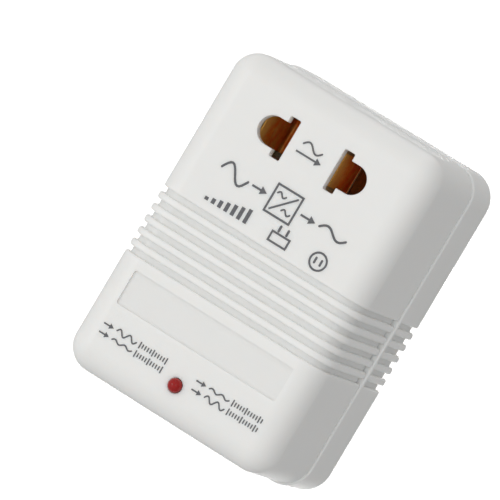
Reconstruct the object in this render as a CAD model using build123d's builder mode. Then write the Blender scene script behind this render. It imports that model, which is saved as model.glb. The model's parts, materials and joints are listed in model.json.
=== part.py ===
"""Plug-in travel voltage converter, built as an assembly of separate parts.

X runs to the right seen from the front, Y from the front cover towards the wall plug,
and Z up. The origin is midway between the two plug blades, on the rear face.
Every length is in millimetres.
"""
import os
from math import radians, tan

from build123d import *

os.makedirs("parts", exist_ok=True)

# Case outline at the plane where the two covers meet
rim_width = 49.4
rim_height = 71.4
rim_radius = 6.0
rim_step = 0.4
rim_above_blades = 17.3
front_depth = 24.3
rear_depth = 15.2
wall = 2.0
draft_angle = 0.7
front_round = 5.0
rear_round = 3.3
round_margin = 0.2
front_rim_round = 0.25
rear_rim_round = 0.35

# Ribbed grip band around both covers
groove_count = 6
groove_pitch = 2.6
groove_width = 1.2
groove_depth = 1.0
rib_round = 0.45
first_groove_below_blades = 15.65
groove_end_gap = 1.0

# Tongue of the rear cover inside the rim of the front cover
tongue_gap = 0.15
tongue_thickness = 1.0
tongue_length = 2.0
ledge_length = 1.5

# Front openings, label recess and lamp hole
socket_above_blades = 4.8
slot_centre = 6.35
slot_width = 2.4
slot_height = 8.8
pin_hole_centre = 9.4
pin_hole_radius = 3.0
opening_corner = 0.35
label_side = 5.5
label_height = 7.3
label_depth = 0.35
label_corner = 0.5
label_above_bottom = 18.8
lamp_above_bottom = 7.7
lamp_hole_radius = 1.55
lamp_ring_radius = 3.2
lamp_ring_height = 0.9

# Screws that close the case
case_screw_side = 7.2
case_screw_inset = 4.8
case_screw_sink = 0.6
case_screw_recess_radius = 2.75
case_boss_radius = 2.9
case_rear_boss_radius = 3.3
case_screw_hole_radius = 1.5
case_pilot_depth = 8.5
case_head_radius = 2.5
case_head_height = 1.7
case_shank_radius = 1.3
case_screw_bite = 6.9
thread_gap = 0.02

# Plug block and blades
block_width = 24.2
block_height = 10.2
block_gap = 0.1
block_corner = 0.6
block_slope = 0.4
flange_width = 32.8
flange_drop = 8.2
flange_thickness = 2.5
block_back_width = 19.2
block_back_height = 9.0
block_back = 3.0
peg_x = 14.3
peg_drop = 3.2
peg_radius = 1.2
peg_gap = 0.1
peg_head_radius = 2.0
peg_head_height = 0.8
blade_spacing = 12.7
blade_width = 6.35
blade_thickness = 1.5
blade_length = 17.5
blade_tip_corner = 1.5
blade_chamfer = 0.3
blade_hole_radius = 1.6
blade_hole_from_face = 13.3
blade_slot_gap = 0.05
shoulder_width = 8.2
shoulder_length = 1.2
tail_width = 3.6
tail_length = 2.3

# Output contacts and their holder
leaf_thickness = 0.3
leaf_height = 7.2
leaf_bend = 0.8
leaf_tip = 0.5
leaf_pinch_share = 0.4
leaf_spread_share = 0.73
leaf_rest_gap = 0.15
leaf_squeeze = 0.35
holder_width = 28.0
holder_height = 11.2
wire_room = 7.0
cavity_inner = 4.75
cavity_outer = 12.55
cavity_height = 9.4
cavity_back = 1.5
ear_x = 3.5
ear_radius = 2.2
ear_thickness = 3.0
ear_from_wall = 6.5
ear_boss_radius = 2.1
boss_gap = 0.15
contact_tail_x = 8.7
contact_tail_thickness = 0.8
contact_tail_height = 3.0
contact_tail_length = 1.5
small_head_radius = 1.7
small_head_height = 1.3
small_shank_radius = 0.9
small_shank_length = 8.0
small_hole_radius = 1.05

# Shape of every pan-head screw, as shares of its shank or head
screw_tip_share = 1.2
screw_crown_share = 0.4
screw_cross_share = 1.2
screw_slot_share = 0.24

# Voltage selector
window_width = 11.0
window_height = 6.2
window_corner = 0.4
selector_above_blades = 10.05
selector_length = 18.0
selector_height = 7.6
frame_depth = 5.2
frame_face = 1.0
knob_length = 5.0
knob_height = 3.4
knob_rise = 1.9
knob_rib = 0.35
knob_rib_pitch = 1.05
selector_travel = 4.5
slide_gap = 0.12
slider_length = 9.0
slider_height = 5.0
slider_thickness = 2.0
base_thickness = 1.8
selector_peg_x = 7.95
selector_peg_radius = 0.6
selector_peg_head_radius = 1.0
selector_peg_head = 0.6
terminal_pitch = 4.5
terminal_row = 1.6
terminal_head_length = 2.6
terminal_head_height = 1.3
terminal_head_thickness = 0.6
terminal_pin_width = 0.8
terminal_pin_height = 1.4
terminal_length = 4.5
bridge_height = 1.1
bridge_thickness = 0.4
bridge_bump = 0.8
jumper_radius = 0.35
jumper_straight = 1.1
jumper_share = 0.36

# Transformer
core_side_gap = 2.2
core_end_gap = 8.75
core_above_bottom = 8.8
core_top_below_blades = 12.3
centre_leg_share = 0.317
outer_leg_share = 0.146
yoke = 6.0
post_radius = 2.0
post_inset = 3.0
bobbin_gap = 0.1
bobbin_wall = 0.9
bobbin_flange = 0.9
flange_side_gap = 0.2
coil_end_gap = 1.55
winding_margin = 0.6
winding_corner = 1.5
tape_thickness = 0.35
fuse_radius = 1.3
fuse_length = 8.0
fuse_side_step = 3.0
fuse_lead_radius = 0.4
fuse_below_blade = 2.9
fuse_rear_lead = 1.85
fuse_front_lead = 2.45
fuse_rise = 3.4
end_round_share = 0.33

# Lamp, its board and resistor
lamp_radius = 1.45
lamp_flange_radius = 1.9
lamp_flange = 1.0
lamp_dome = 1.45
lead_spacing = 2.54
lead_side = 0.5
lead_length = 4.4
board_width = 12.0
board_height = 7.0
board_thickness = 1.2
board_drop = 1.1
board_gap = 2.4
board_rib = 1.2
resistor_radius = 0.85
resistor_length = 3.6
resistor_drop = 2.3
resistor_lead_share = 1.6

# Insulated wires
wire_radius = 0.55
thin_wire_radius = 0.45
wire_bend = 1.2
thin_wire_bend = 0.9
lane_near = 1.7
lane_mid = 2.6
lane_far = 3.5
cross_height = 2.8
drop_gap = 3.8
lamp_wire_inset = 1.4

# Derived places
y_rim = -rear_depth
y_front = y_rim - front_depth
y_inner_front = y_front + wall
y_inner_rear = -wall
z_top = rim_above_blades
z_bottom = z_top - rim_height
z_mid = (z_top + z_bottom) / 2
front_width = rim_width - 2 * rim_step
front_height = rim_height - 2 * rim_step
front_radius = rim_radius - rim_step
draft_share = tan(radians(draft_angle))
front_edge = min(front_round, front_radius - front_depth * draft_share - round_margin)
rear_edge = min(rear_round, rim_radius - rear_depth * draft_share - round_margin)
front_plane = Plane(origin=(0, y_rim, z_mid), x_dir=(1, 0, 0), z_dir=(0, -1, 0))
rear_plane = Plane(origin=(0, y_rim, z_mid), x_dir=(-1, 0, 0), z_dir=(0, 1, 0))
groove_z = [-first_groove_below_blades - i * groove_pitch for i in range(groove_count)]
z_socket = socket_above_blades
z_label = z_bottom + label_above_bottom
z_lamp = z_bottom + lamp_above_bottom
label_width = front_width - 2 * label_side
z_selector = selector_above_blades
screw_z = [z_top - case_screw_inset, z_bottom + case_screw_inset]
case_screw_x = rim_width / 2 - case_screw_side
screw_places = [(sx * case_screw_x, z) for z in screw_z for sx in (-1, 1)]
y_seat = -case_screw_sink - case_head_height
case_shank_length = y_seat - y_rim + case_screw_bite
blade_places = [-blade_spacing / 2, blade_spacing / 2]
y_flange = y_inner_rear - flange_thickness
y_block_back = y_flange - block_back
peg_places = [(-peg_x, -peg_drop), (peg_x, -peg_drop)]
y_frame_back = y_inner_rear - frame_depth
y_base_back = y_frame_back - base_thickness
y_pin_end = y_base_back - terminal_length
selector_pegs = [(-selector_peg_x, z_selector), (selector_peg_x, z_selector)]
y_holder_back = y_pin_end - wire_room
y_ear = y_inner_front + ear_from_wall
y_ear_back = y_ear + ear_thickness
ear_rise = holder_height / 2 + small_head_radius + boss_gap
ear_places = [(-ear_x, z_socket + ear_rise), (ear_x, z_socket - ear_rise)]
inner_depth = y_inner_rear - y_inner_front
y_core = (y_inner_front + y_inner_rear) / 2
core_width = rim_width - 2 * (wall + core_side_gap)
core_stack = inner_depth - 2 * core_end_gap
half_core = core_width / 2
z_core_bottom = z_bottom + core_above_bottom
z_core_top = -core_top_below_blades
y_core_front = y_core - core_stack / 2
y_core_rear = y_core + core_stack / 2
centre_leg = core_width * centre_leg_share
window_reach = (core_width - centre_leg) / 2 - core_width * outer_leg_share
z_window_low = z_core_bottom + yoke
z_window_high = z_core_top - yoke
post_z = [z_core_bottom + post_inset, z_core_top - post_inset]
post_places = [(sx * (half_core - post_inset), z) for z in post_z for sx in (-1, 1)]
y_lamp_base = y_inner_front + lamp_ring_height + lamp_flange
y_board = y_lamp_base + board_gap
z_board = z_lamp - board_drop
y_board_rear = y_board + board_thickness


def facing_rear(y):
    """Sketch plane at this Y, drawn with X to the right and Z up."""
    return Plane(origin=(0, y, 0), x_dir=(1, 0, 0), z_dir=(0, -1, 0))


def posts(places, y_from, y_to, radius, mode=Mode.ADD):
    """Round posts, or holes, along Y at (x, z) places."""
    middle = (y_from + y_to) / 2
    with Locations(*[(x, middle, z) for x, z in places]):
        Cylinder(radius, abs(y_to - y_from), rotation=(90, 0, 0), mode=mode)


def bars(places, y_from, y_to, width, height, mode=Mode.ADD):
    """Rectangular bars, or slots, along Y at (x, z) places."""
    middle = (y_from + y_to) / 2
    with Locations(*[(x, middle, z) for x, z in places]):
        Box(width, abs(y_to - y_from), height, mode=mode)


def case_block(plane, width, height, radius, depth, edge_round, rim_round=0):
    """Drafted block with rounded corners, a rounded far edge and a softened rim."""
    with BuildPart() as result:
        with BuildSketch(plane):
            RectangleRounded(width, height, radius)
        extrude(amount=depth, taper=draft_angle)
        ends = result.faces().sort_by(Axis(plane.origin, plane.z_dir))
        fillet(ends[-1].edges(), radius=edge_round)
        if rim_round:
            near = result.faces().sort_by(Axis(plane.origin, plane.z_dir))[0]
            fillet(near.edges(), radius=rim_round)
    return result.part


def groove_cutter(half_width, depth, edge_round, outward, start):
    """One groove with rounded mouth around a cover's sides and end face, at z = 0."""
    y_start = y_rim + outward * start
    y_end = y_rim + outward * depth
    x_start = half_width - start * draft_share
    x_end = half_width - depth * draft_share
    corners = [(-x_start, y_start), (-x_end, y_end), (x_end, y_end), (x_start, y_start)]
    along = Vector(x_start - x_end, y_end - y_start, 0).normalized()
    away = Vector(along.Y * -outward, along.X * outward, 0)
    half = groove_width / 2
    over = rib_round
    bend = rib_round * (1 - 0.5 ** 0.5)
    with BuildPart() as result:
        with BuildLine() as path:
            Polyline(*corners)
            fillet(path.vertices().sort_by(Axis.Y)[(0 if outward < 0 else -2):][:2], radius=edge_round)
        with BuildSketch(Plane(origin=(-x_start, y_start, 0), x_dir=away, z_dir=along)):
            with BuildLine():
                Polyline((over, -half - rib_round), (0, -half - rib_round))
                ThreePointArc((0, -half - rib_round), (-bend, -half - bend), (-rib_round, -half))
                Polyline((-rib_round, -half), (-groove_depth, -half), (-groove_depth, half),
                         (-rib_round, half))
                ThreePointArc((-rib_round, half), (-bend, half + bend), (0, half + rib_round))
                Polyline((0, half + rib_round), (over, half + rib_round), (over, -half - rib_round))
            make_face()
        sweep(path=path.line)
    return result.part


def pan_screw(head_radius, head_height, shank_radius, shank_length):
    """Pan-head screw, head towards +Y, underside of the head at the origin."""
    tip = shank_radius * screw_tip_share
    crown = head_height * screw_crown_share
    cross = head_radius * screw_cross_share
    slot = head_radius * screw_slot_share
    with BuildPart() as result:
        with BuildSketch(Plane.XY):
            with BuildLine():
                Polyline((0, -shank_length), (shank_radius, tip - shank_length), (shank_radius, 0),
                         (head_radius, 0), (head_radius, head_height - crown),
                         (head_radius - crown, head_height), (0, head_height), (0, -shank_length))
            make_face()
        revolve(axis=Axis.Y)
        with Locations((0, head_height, 0)):
            Box(cross, head_height, slot, mode=Mode.SUBTRACT)
            Box(slot, head_height, cross, mode=Mode.SUBTRACT)
    return result.part


def wire(points, radius, bend):
    """Round wire along a path of straight runs with rounded bends."""
    with BuildPart() as result:
        with BuildLine() as path:
            FilletPolyline(*points, radius=bend)
        with BuildSketch(Plane(origin=path.line @ 0, z_dir=path.line % 0)):
            Circle(radius)
        sweep(path=path.line)
    return result.part


def save(part, name):
    """Write one named part to its own STEP file."""
    part.label = name
    export_step(part, f"parts/{name}.step")


# Front cover
front_shell = case_block(front_plane, front_width, front_height, front_radius, front_depth,
                         front_edge, front_rim_round)
front_hollow = case_block(front_plane, front_width - 2 * wall, front_height - 2 * wall,
                          front_radius - wall, front_depth - wall, front_edge - wall)
front_groove = groove_cutter(front_width / 2, front_depth, front_edge, -1, -groove_end_gap)


def socket_opening():
    """Flat slot joined to a round-ended pin hole, for the right-hand side."""
    with Locations((slot_centre, 0)):
        RectangleRounded(slot_width, slot_height, opening_corner)
    with Locations(((slot_centre + pin_hole_centre) / 2, 0)):
        Rectangle(pin_hole_centre - slot_centre, 2 * pin_hole_radius)
    with Locations((pin_hole_centre, 0)):
        Circle(pin_hole_radius)


with BuildPart() as front_cover:
    add(front_shell)
    add(front_hollow, mode=Mode.SUBTRACT)
    with Locations(*[(0, 0, z) for z in groove_z]):
        add(front_groove, mode=Mode.SUBTRACT)
    posts(screw_places, y_inner_front, y_rim, case_boss_radius)
    posts(screw_places, y_rim, y_rim - case_pilot_depth, case_shank_radius + thread_gap, mode=Mode.SUBTRACT)
    posts(post_places, y_inner_front, y_core_front, post_radius)
    posts(ear_places, y_inner_front, y_ear, ear_boss_radius)
    posts(ear_places, y_inner_front, y_ear, small_shank_radius + thread_gap, mode=Mode.SUBTRACT)
    posts([(0, z_lamp)], y_inner_front, y_inner_front + lamp_ring_height, lamp_ring_radius)
    rib_x = (board_width + board_rib) / 2
    bars([(-rib_x, z_board), (rib_x, z_board)], y_inner_front, y_board_rear + board_rib / 2,
         board_rib, board_height)
    with BuildSketch(facing_rear(y_inner_front)):
        with Locations((0, z_socket)):
            socket_opening()
        mirror(about=Plane.YZ)
    extrude(amount=wall, mode=Mode.SUBTRACT)
    posts([(0, z_lamp)], y_front, y_inner_front + lamp_ring_height, lamp_hole_radius, mode=Mode.SUBTRACT)
    with BuildSketch(facing_rear(y_front + label_depth)):
        with Locations((0, z_label)):
            RectangleRounded(label_width, label_height, label_corner)
    extrude(amount=label_depth, mode=Mode.SUBTRACT)
save(front_cover.part, "front_cover")

# Rear cover
rear_shell = case_block(rear_plane, rim_width, rim_height, rim_radius, rear_depth, rear_edge, rear_rim_round)
rear_hollow = case_block(rear_plane, rim_width - 2 * wall, rim_height - 2 * wall,
                         rim_radius - wall, rear_depth - wall, rear_edge - wall)
rear_groove = groove_cutter(rim_width / 2, rear_depth, rear_edge, 1, groove_end_gap)
tongue_width = front_width - 2 * wall - 2 * tongue_gap
tongue_height = front_height - 2 * wall - 2 * tongue_gap
tongue_radius = front_radius - wall - tongue_gap

with BuildPart() as tongue:
    with BuildSketch(front_plane):
        RectangleRounded(tongue_width, tongue_height, tongue_radius)
        RectangleRounded(tongue_width - 2 * tongue_thickness, tongue_height - 2 * tongue_thickness,
                         tongue_radius - tongue_thickness, mode=Mode.SUBTRACT)
    extrude(amount=tongue_length)
    posts(screw_places, y_rim, y_rim - tongue_length, case_boss_radius + 2 * tongue_gap, mode=Mode.SUBTRACT)
    with BuildSketch(rear_plane):
        RectangleRounded(rim_width - wall, rim_height - wall, rim_radius - wall / 2)
        RectangleRounded(tongue_width - 2 * tongue_thickness, tongue_height - 2 * tongue_thickness,
                         tongue_radius - tongue_thickness, mode=Mode.SUBTRACT)
    extrude(amount=ledge_length)

with BuildPart() as rear_cover:
    add(rear_shell)
    add(rear_hollow, mode=Mode.SUBTRACT)
    with Locations(*[(0, 0, z) for z in groove_z]):
        add(rear_groove, mode=Mode.SUBTRACT)
    add(tongue.part)
    posts(screw_places, y_inner_rear, y_rim, case_rear_boss_radius)
    posts(screw_places, 0, y_seat, case_screw_recess_radius, mode=Mode.SUBTRACT)
    posts(screw_places, 0, y_rim, case_screw_hole_radius, mode=Mode.SUBTRACT)
    posts(post_places, y_inner_rear, y_core_rear, post_radius)
    posts(peg_places, y_inner_rear, y_flange, peg_radius)
    posts(peg_places, y_flange, y_flange - peg_head_height, peg_head_radius)
    posts(selector_pegs, y_inner_rear, y_base_back, selector_peg_radius)
    posts(selector_pegs, y_base_back, y_base_back - selector_peg_head, selector_peg_head_radius)
    with BuildSketch(facing_rear(0)):
        RectangleRounded(block_width + 2 * block_gap, block_height + 2 * block_gap, block_corner)
        with Locations((0, z_selector)):
            RectangleRounded(window_width, window_height, window_corner)
    extrude(amount=wall, mode=Mode.SUBTRACT)
save(rear_cover.part, "rear_cover")

# Screws that close the case
case_screw = pan_screw(case_head_radius, case_head_height, case_shank_radius, case_shank_length)
for number, (x, z) in enumerate(screw_places, 1):
    save(case_screw.moved(Location((x, y_seat, z))), f"case_screw_{number}")

# Plug block with its sloped outer face
with BuildPart() as plug_block:
    with BuildSketch(Plane.YZ.offset(-block_width / 2)):
        with BuildLine():
            Polyline((y_inner_rear, -block_height / 2), (0, -block_height / 2),
                     (-block_slope, block_height / 2), (y_inner_rear, block_height / 2),
                     (y_inner_rear, -block_height / 2))
        make_face()
    extrude(amount=block_width)
    fillet(plug_block.edges().filter_by(Axis.Y), radius=block_corner)
    flange_z = (block_height / 2 - flange_drop) / 2
    bars([(0, flange_z)], y_flange, y_inner_rear, flange_width, block_height / 2 + flange_drop)
    bars([(0, 0)], y_block_back, y_flange, block_back_width, block_back_height)
    posts(peg_places, y_inner_rear, y_flange, peg_radius + peg_gap, mode=Mode.SUBTRACT)
    bars([(x, 0) for x in blade_places], 0, y_block_back, blade_thickness + 2 * blade_slot_gap,
         blade_width + 2 * blade_slot_gap, mode=Mode.SUBTRACT)
save(plug_block.part, "plug_block")

# Plug blades
y_shoulder = y_block_back - shoulder_length
y_tail = y_shoulder - tail_length
with BuildPart() as blade:
    with BuildSketch(Plane.YZ.offset(-blade_thickness / 2)) as blade_outline:
        with BuildLine():
            Polyline((y_tail, -tail_width / 2), (y_shoulder, -tail_width / 2),
                     (y_shoulder, -shoulder_width / 2), (y_block_back, -shoulder_width / 2),
                     (y_block_back, -blade_width / 2), (blade_length, -blade_width / 2),
                     (blade_length, blade_width / 2), (y_block_back, blade_width / 2),
                     (y_block_back, shoulder_width / 2), (y_shoulder, shoulder_width / 2),
                     (y_shoulder, tail_width / 2), (y_tail, tail_width / 2), (y_tail, -tail_width / 2))
        make_face()
        fillet(blade_outline.vertices().group_by(Axis.X)[-1], radius=blade_tip_corner)
        with Locations((blade_hole_from_face, 0)):
            Circle(blade_hole_radius, mode=Mode.SUBTRACT)
    extrude(amount=blade_thickness)
    broad_faces = blade.faces().filter_by(Axis.X)
    exposed = [e for face in broad_faces for e in face.edges() if e.center().Y > 0]
    chamfer(exposed, length=blade_chamfer)
save(blade.part.moved(Location((blade_places[0], 0, 0))), "plug_blade_left")
save(blade.part.moved(Location((blade_places[1], 0, 0))), "plug_blade_right")

# Holder for the output contacts
y_cavity_back = y_holder_back - cavity_back
cavity_x = (cavity_inner + cavity_outer) / 2
cavity_places = [(-cavity_x, z_socket), (cavity_x, z_socket)]
tail_places = [(-contact_tail_x, z_socket), (contact_tail_x, z_socket)]
web_z = holder_height / 2
with BuildPart() as contact_holder:
    bars([(0, z_socket)], y_inner_front, y_holder_back, holder_width, holder_height)
    posts(ear_places, y_inner_front, y_ear, ear_boss_radius + boss_gap, mode=Mode.SUBTRACT)
    posts(screw_places, y_inner_front, y_holder_back, case_boss_radius + boss_gap, mode=Mode.SUBTRACT)
    posts(ear_places, y_ear, y_ear_back, ear_radius)
    bars([(-ear_x, z_socket + web_z), (ear_x, z_socket - web_z)], y_ear, y_ear_back,
         2 * ear_radius, 2 * (ear_rise - web_z))
    bars(cavity_places, y_inner_front, y_cavity_back, cavity_outer - cavity_inner, cavity_height,
         mode=Mode.SUBTRACT)
    bars(tail_places, y_cavity_back, y_holder_back, contact_tail_thickness + 2 * block_gap,
         contact_tail_height + 2 * block_gap, mode=Mode.SUBTRACT)
    posts(ear_places, y_ear, y_ear_back, small_hole_radius, mode=Mode.SUBTRACT)
save(contact_holder.part, "contact_holder")
small_screw = pan_screw(small_head_radius, small_head_height, small_shank_radius, small_shank_length)
for name, (x, z) in zip(("left", "right"), ear_places):
    save(small_screw.moved(Location((x, y_ear_back, z))), f"holder_screw_{name}")

# Output contacts, each one bent strip with a middle leaf
half_leaf = leaf_thickness / 2
y_leaf_tip = y_inner_front + leaf_tip
y_leaf_pinch = y_inner_front + (y_cavity_back - y_inner_front) * leaf_pinch_share
y_leaf_spread = y_inner_front + (y_cavity_back - y_inner_front) * leaf_spread_share
y_leaf_back = y_cavity_back - half_leaf
x_inner_rest = cavity_inner + half_leaf + leaf_rest_gap
x_inner_pinch = slot_centre - blade_thickness / 2 - blade_slot_gap - half_leaf
x_middle = slot_centre + blade_thickness / 2 + blade_slot_gap + half_leaf
x_outer_rest = cavity_outer - half_leaf - leaf_rest_gap
x_outer_pinch = x_outer_rest - leaf_squeeze
with BuildPart() as contact:
    with BuildSketch(Plane.XY.offset(z_socket - leaf_height / 2)):
        with BuildLine() as strip:
            FilletPolyline((x_inner_rest, y_leaf_tip), (x_inner_pinch, y_leaf_pinch),
                           (x_inner_rest, y_leaf_spread), (x_inner_rest, y_leaf_back),
                           (x_outer_rest, y_leaf_back), (x_outer_rest, y_leaf_spread),
                           (x_outer_pinch, y_leaf_pinch), (x_outer_rest, y_leaf_tip), radius=leaf_bend)
        trace(line_width=leaf_thickness)
        with BuildLine():
            Line((x_middle, y_leaf_back), (x_middle, y_leaf_pinch))
        trace(line_width=leaf_thickness)
    extrude(amount=leaf_height)
    bars(tail_places[1:], y_leaf_back, y_holder_back + contact_tail_length, contact_tail_thickness,
         contact_tail_height)
save(contact.part, "output_contact_right")
save(mirror(contact.part, about=Plane.YZ), "output_contact_left")

# Voltage selector
slide_length = slider_length + selector_travel + 2 * slide_gap
knob_opening = knob_length + selector_travel + 2 * slide_gap
middle_of_selector = [(0, z_selector)]
with BuildPart() as selector_frame:
    bars(middle_of_selector, y_frame_back, y_inner_rear, selector_length, selector_height)
    bars(middle_of_selector, y_frame_back, y_inner_rear - frame_face, slide_length,
         slider_height + 2 * slide_gap, mode=Mode.SUBTRACT)
    bars(middle_of_selector, y_inner_rear - frame_face, y_inner_rear, knob_opening,
         knob_height + 2 * slide_gap, mode=Mode.SUBTRACT)
    posts(selector_pegs, y_inner_rear, y_frame_back, selector_peg_radius + peg_gap, mode=Mode.SUBTRACT)
save(selector_frame.part, "selector_frame")

terminal_places = [(ix * terminal_pitch, z_selector + iz * terminal_row)
                   for iz in (-1, 1) for ix in (-1, 0, 1)]
with BuildPart() as selector_base:
    bars(middle_of_selector, y_base_back, y_frame_back, selector_length, selector_height)
    bars(terminal_places, y_base_back, y_frame_back, terminal_pin_width + 2 * blade_slot_gap,
         terminal_pin_height + 2 * blade_slot_gap, mode=Mode.SUBTRACT)
    posts(selector_pegs, y_frame_back, y_base_back, selector_peg_radius + peg_gap, mode=Mode.SUBTRACT)
save(selector_base.part, "selector_base")

with BuildPart() as terminal:
    bars([(0, 0)], y_frame_back, y_frame_back + terminal_head_thickness, terminal_head_length,
         terminal_head_height)
    bars([(0, 0)], y_pin_end, y_frame_back, terminal_pin_width, terminal_pin_height)
for number, (x, z) in enumerate(terminal_places, 1):
    save(terminal.part.moved(Location((x, 0, z))), f"selector_terminal_{number}")

y_slider = y_inner_rear - frame_face - slide_gap
y_knob = y_slider + knob_rise
x_rest = -selector_travel / 2
with BuildPart() as selector_slider:
    bars([(x_rest, z_selector)], y_slider - slider_thickness, y_slider, slider_length, slider_height)
    bars([(x_rest, z_selector)], y_slider, y_knob, knob_length, knob_height)
    bars([(x_rest + i * knob_rib_pitch, z_selector) for i in (-1, 0, 1)], y_knob - knob_rib,
         y_knob + knob_rib, knob_rib, knob_height, mode=Mode.SUBTRACT)
save(selector_slider.part, "selector_slider")

y_bridge = y_slider - slider_thickness
y_bump = y_frame_back + terminal_head_thickness + blade_slot_gap
bump_reach = terminal_pitch / 2
for name, side in (("lower", -1), ("upper", 1)):
    z_bridge = z_selector + side * terminal_row
    with BuildPart() as bridge:
        bars([(x_rest, z_bridge)], y_bridge - bridge_thickness, y_bridge, 2 * (bump_reach + bridge_bump),
             bridge_height)
        bars([(x_rest + end * bump_reach, z_bridge) for end in (-1, 1)], y_bump, y_bridge, bridge_bump,
             bridge_height)
    save(bridge.part, f"selector_bridge_{name}")

x_pin_side = terminal_pitch - terminal_pin_width / 2
x_turn = x_pin_side - jumper_straight
for number, side in ((1, 1), (2, -1)):
    y_jumper = y_base_back - number * terminal_length * jumper_share
    jumper = wire([(-side * x_pin_side, y_jumper, z_selector - terminal_row),
                   (-side * x_turn, y_jumper, z_selector - terminal_row),
                   (side * x_turn, y_jumper, z_selector + terminal_row),
                   (side * x_pin_side, y_jumper, z_selector + terminal_row)],
                  jumper_radius, 2 * jumper_radius)
    save(jumper, f"selector_jumper_{number}")

# Transformer core
e_height = z_window_high - z_core_bottom
window_x = (centre_leg + window_reach) / 2
window_z = (z_window_low + z_window_high) / 2
with BuildPart() as core_e_stack:
    bars([(0, z_core_bottom + e_height / 2)], y_core_front, y_core_rear, core_width, e_height)
    bars([(-window_x, window_z), (window_x, window_z)], y_core_front, y_core_rear, window_reach,
         z_window_high - z_window_low, mode=Mode.SUBTRACT)
save(core_e_stack.part, "core_e_stack")
with BuildPart() as core_i_stack:
    bars([(0, z_core_top - yoke / 2)], y_core_front, y_core_rear, core_width, yoke)
save(core_i_stack.part, "core_i_stack")

# Bobbin, winding and tape
x_tube = centre_leg / 2 + bobbin_gap
y_tube = core_stack / 2 + bobbin_gap
x_flange = centre_leg / 2 + window_reach - flange_side_gap
y_reach = inner_depth / 2 - coil_end_gap
x_coil = x_flange - winding_margin - tape_thickness
y_coil = y_reach - winding_margin - tape_thickness


def coil_ring(outer_x, outer_y, outer_corner, inner_x, inner_y, inner_corner, z_low, z_high):
    """Rounded rectangular ring around the centre leg."""
    with BuildPart() as result:
        with BuildSketch(Plane.XY.offset(z_low)):
            with Locations((0, y_core)):
                RectangleRounded(2 * outer_x, 2 * outer_y, outer_corner)
                if inner_corner:
                    RectangleRounded(2 * inner_x, 2 * inner_y, inner_corner, mode=Mode.SUBTRACT)
                else:
                    Rectangle(2 * inner_x, 2 * inner_y, mode=Mode.SUBTRACT)
        extrude(amount=z_high - z_low)
    return result.part


z_coil_low = z_window_low + bobbin_flange
z_coil_high = z_window_high - bobbin_flange
tube = coil_ring(x_tube + bobbin_wall, y_tube + bobbin_wall, bobbin_wall, x_tube, y_tube, 0,
                 z_window_low, z_window_high)
low_flange = coil_ring(x_flange, y_reach, bobbin_wall, x_tube, y_tube, 0, z_window_low, z_coil_low)
high_flange = coil_ring(x_flange, y_reach, bobbin_wall, x_tube, y_tube, 0, z_coil_high, z_window_high)
with BuildPart() as bobbin:
    add(tube)
    add(low_flange)
    add(high_flange)
save(bobbin.part, "bobbin")
save(coil_ring(x_coil, y_coil, winding_corner, x_tube + bobbin_wall, y_tube + bobbin_wall, bobbin_wall,
               z_coil_low, z_coil_high), "winding")
save(coil_ring(x_coil + tape_thickness, y_coil + tape_thickness, winding_corner + tape_thickness,
               x_coil, y_coil, winding_corner, z_coil_low, z_coil_high), "winding_tape")

# Thermal fuse lying on the core, its leads along Y
x_fuse = blade_places[0] - fuse_side_step
z_fuse = z_core_top + fuse_radius
y_fuse_up = y_tail - fuse_below_blade
y_fuse_rear = y_fuse_up - fuse_rear_lead
y_fuse_front = y_fuse_rear - fuse_length
y_fuse = (y_fuse_front + y_fuse_rear) / 2
fuse_up_end = (x_fuse, y_fuse_up, z_fuse + fuse_rise)
fuse_front_end = (x_fuse, y_fuse_front - fuse_front_lead, z_fuse)
rear_lead = wire([(x_fuse, y_fuse, z_fuse), (x_fuse, y_fuse_up, z_fuse), fuse_up_end],
                 fuse_lead_radius, 2 * fuse_lead_radius)
with BuildPart() as thermal_fuse:
    posts([(x_fuse, z_fuse)], y_fuse_front, y_fuse_rear, fuse_radius)
    fillet(thermal_fuse.edges().filter_by(GeomType.CIRCLE), radius=fuse_radius * end_round_share)
    posts([(x_fuse, z_fuse)], fuse_front_end[1], y_fuse, fuse_lead_radius)
    add(rear_lead)
save(thermal_fuse.part, "thermal_fuse")

# Pilot lamp, board and resistor
with BuildPart() as pilot_lamp:
    with BuildSketch(Plane.XY.offset(z_lamp)):
        with BuildLine():
            Polyline((0, y_lamp_base), (lamp_flange_radius, y_lamp_base),
                     (lamp_flange_radius, y_lamp_base - lamp_flange),
                     (lamp_radius, y_lamp_base - lamp_flange), (lamp_radius, y_front))
            ThreePointArc((lamp_radius, y_front),
                          (lamp_radius * 0.5 ** 0.5, y_front - lamp_dome * 0.5 ** 0.5),
                          (0, y_front - lamp_dome))
            Line((0, y_front - lamp_dome), (0, y_lamp_base))
        make_face()
    revolve(axis=Axis((0, 0, z_lamp), (0, 1, 0)))
save(pilot_lamp.part, "pilot_lamp")
y_lead_end = y_lamp_base + lead_length
lead_places = [(-lead_spacing / 2, z_lamp), (lead_spacing / 2, z_lamp)]
for name, place in zip(("left", "right"), lead_places):
    with BuildPart() as lamp_lead:
        bars([place], y_lamp_base, y_lead_end, lead_side, lead_side)
    save(lamp_lead.part, f"lamp_lead_{name}")
with BuildPart() as lamp_board:
    bars([(0, z_board)], y_board, y_board_rear, board_width, board_height)
    posts(lead_places, y_board, y_board_rear, lead_side, mode=Mode.SUBTRACT)
save(lamp_board.part, "lamp_board")

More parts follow.
